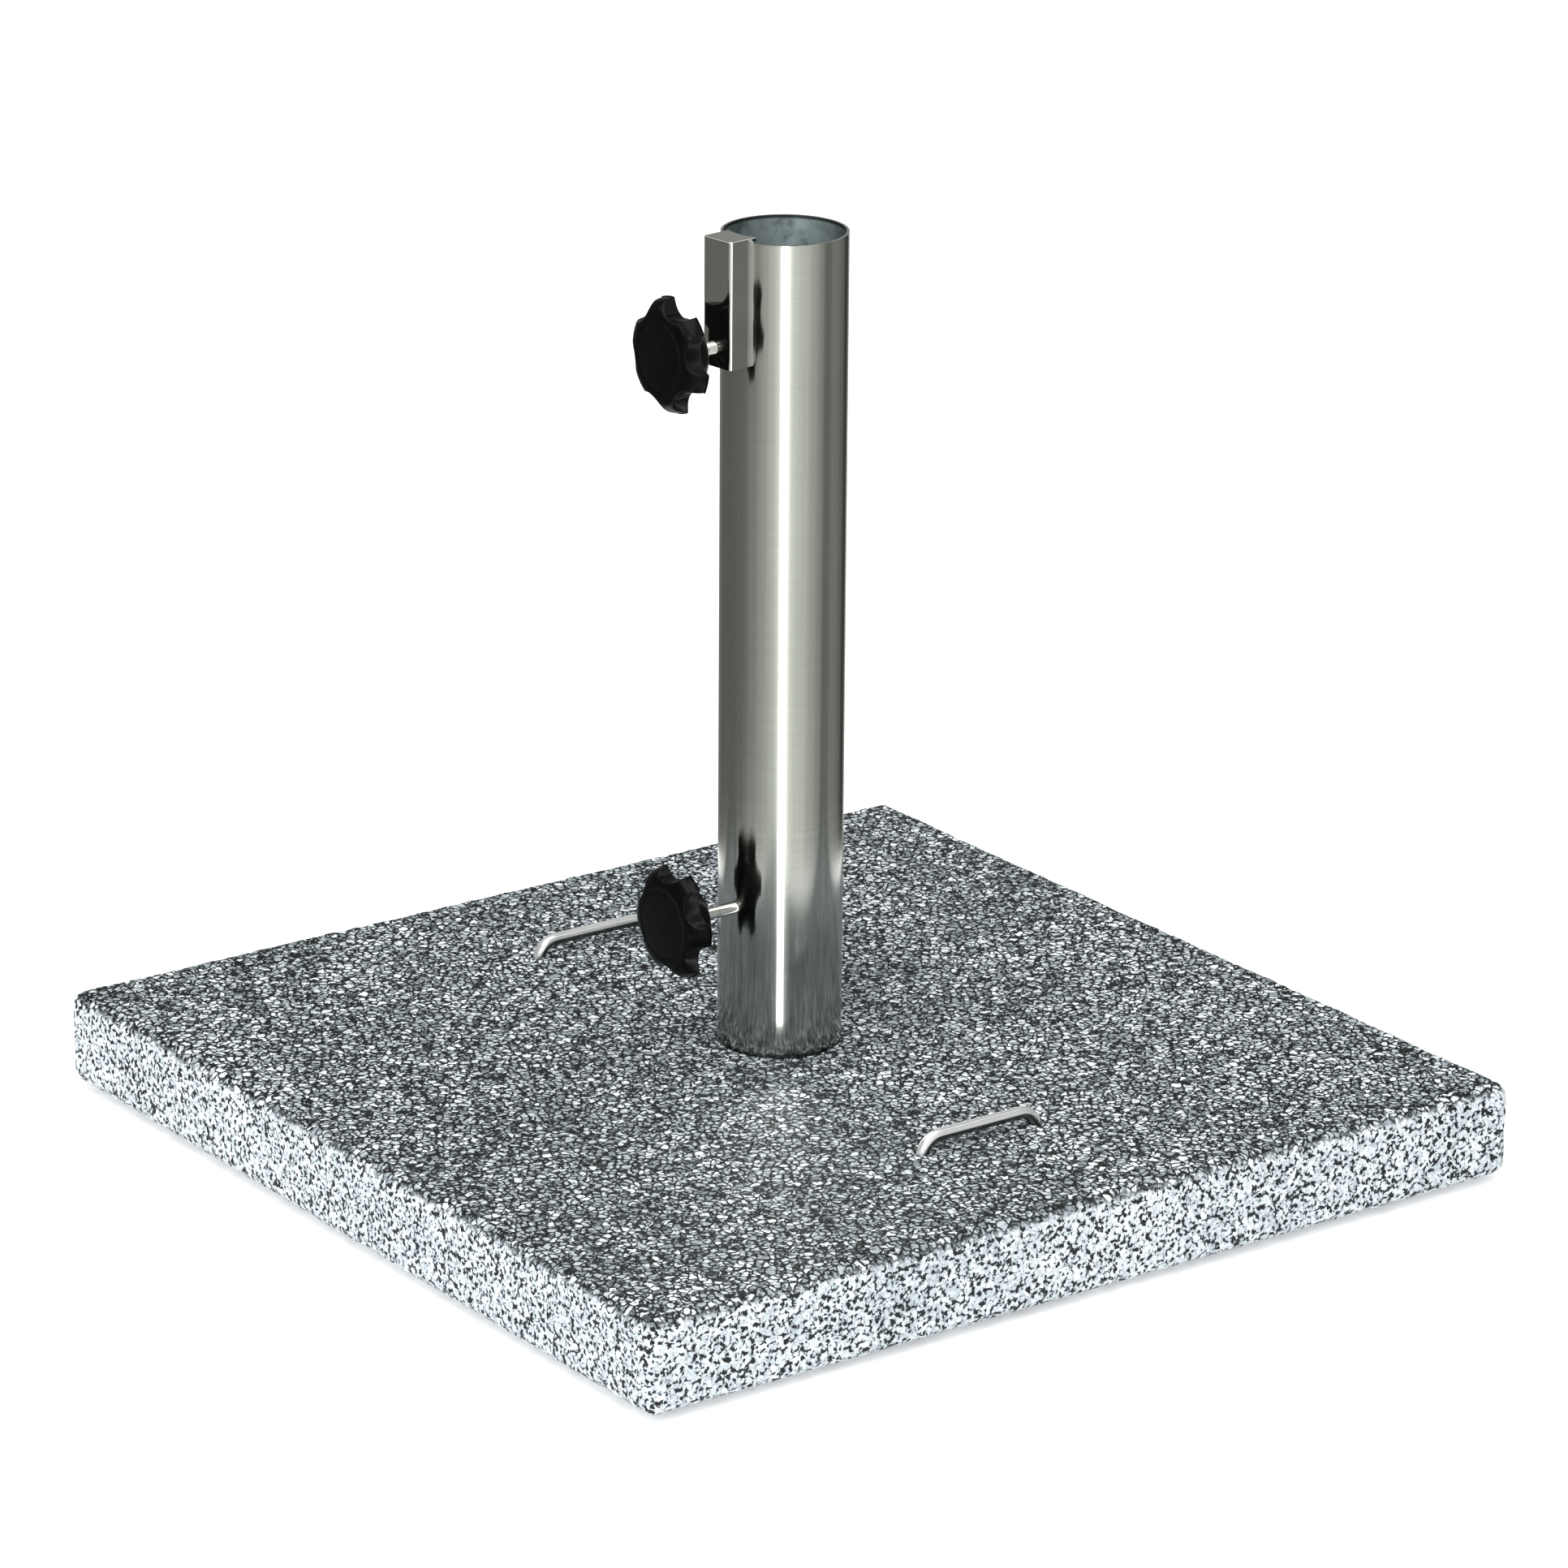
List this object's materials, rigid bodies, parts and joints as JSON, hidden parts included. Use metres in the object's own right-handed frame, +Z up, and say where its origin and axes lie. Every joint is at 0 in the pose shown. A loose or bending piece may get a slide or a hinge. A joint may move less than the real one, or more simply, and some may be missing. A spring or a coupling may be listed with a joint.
{
  "type": "parasol base",
  "caption": "Square granite parasol base with a steel standpipe, two star-knob clamps for the pole and pull-up rod handles for moving it.",
  "frame": {"origin": "centre of the footprint on the ground plane, under the pipe's axis", "axes": "+Z up along the standpipe, +X and +Y along the slab's sides; the clamping knobs point out along -X, 3.6 mm to the -Y side of the pipe's axis"},
  "size_m": [0.5, 0.5, 0.453],
  "materials": {
    "granite": "flamed top, sawn sides, rough",
    "brushed_stainless": "satin, finely polished round the tube",
    "polished_stainless": "mirror polished",
    "handle_steel": "polished round rod",
    "zinc_steel": "zinc plated, bright",
    "black_plastic": "fine-grained, satin",
    "black_cover_plastic": "satin",
    "white_nylon": "natural nylon, matte",
    "pad_rubber": "matte rubber"
  },
  "bodies": {
    "base": {"granite_slab": "granite", "standpipe": "brushed_stainless", "pipe_base_disc": "zinc_steel", "centre_bolt": "zinc_steel", "spring_washer": "zinc_steel", "anchor_washer": "zinc_steel", "clamp_box": "polished_stainless", "clamp_box_cap": "polished_stainless", "clamp_nut": "zinc_steel", "floor_pads": "pad_rubber"},
    "upper_jaw": {"clamp_jaw": "zinc_steel"},
    "upper_knob": {"upper_knob_grip": "black_plastic", "upper_knob_cover": "black_cover_plastic", "upper_clamp_screw": "zinc_steel", "jaw_retaining_clip": "zinc_steel"},
    "lower_tip": {"lower_screw_tip": "white_nylon"},
    "lower_knob": {"lower_knob_grip": "black_plastic", "lower_knob_cover": "black_cover_plastic", "lower_clamp_screw": "zinc_steel"},
    "front_lift": {"front_handle": "handle_steel", "front_handle_washers": "zinc_steel", "front_handle_nuts": "zinc_steel"},
    "rear_lift": {"rear_handle": "handle_steel", "rear_handle_washers": "zinc_steel", "rear_handle_nuts": "zinc_steel"}
  },
  "joints": [
    {"name": "upper_jaw_travel", "type": "slide", "parent": "base", "child": "upper_jaw", "axis": [1, 0, 0], "range_m": [0, 0.01201]},
    {"name": "upper_knob_turn", "type": "hinge", "parent": "upper_jaw", "child": "upper_knob", "pos_m": [-0.0642, -0.0036, 0.4011], "axis": [1, 0, 0], "range_deg": [0, 4320]},
    {"name": "lower_tip_travel", "type": "slide", "parent": "base", "child": "lower_tip", "axis": [1, 0, 0], "range_m": [0, 0.02001]},
    {"name": "lower_knob_turn", "type": "hinge", "parent": "lower_tip", "child": "lower_knob", "pos_m": [-0.0616, -0.0036, 0.1231], "axis": [1, 0, 0], "range_deg": [0, 7200]},
    {"name": "front_handle_lift", "type": "slide", "parent": "base", "child": "front_lift", "axis": [0, 0, 1], "range_m": [0, 0.0248]},
    {"name": "rear_handle_lift", "type": "slide", "parent": "base", "child": "rear_lift", "axis": [0, 0, 1], "range_m": [0, 0.0248]}
  ],
  "couplings": [
    {"joint": "upper_jaw_travel", "follows": "upper_knob_turn", "m_per_rad": 0.00015915},
    {"joint": "lower_tip_travel", "follows": "lower_knob_turn", "m_per_rad": 0.00015915}
  ]
}
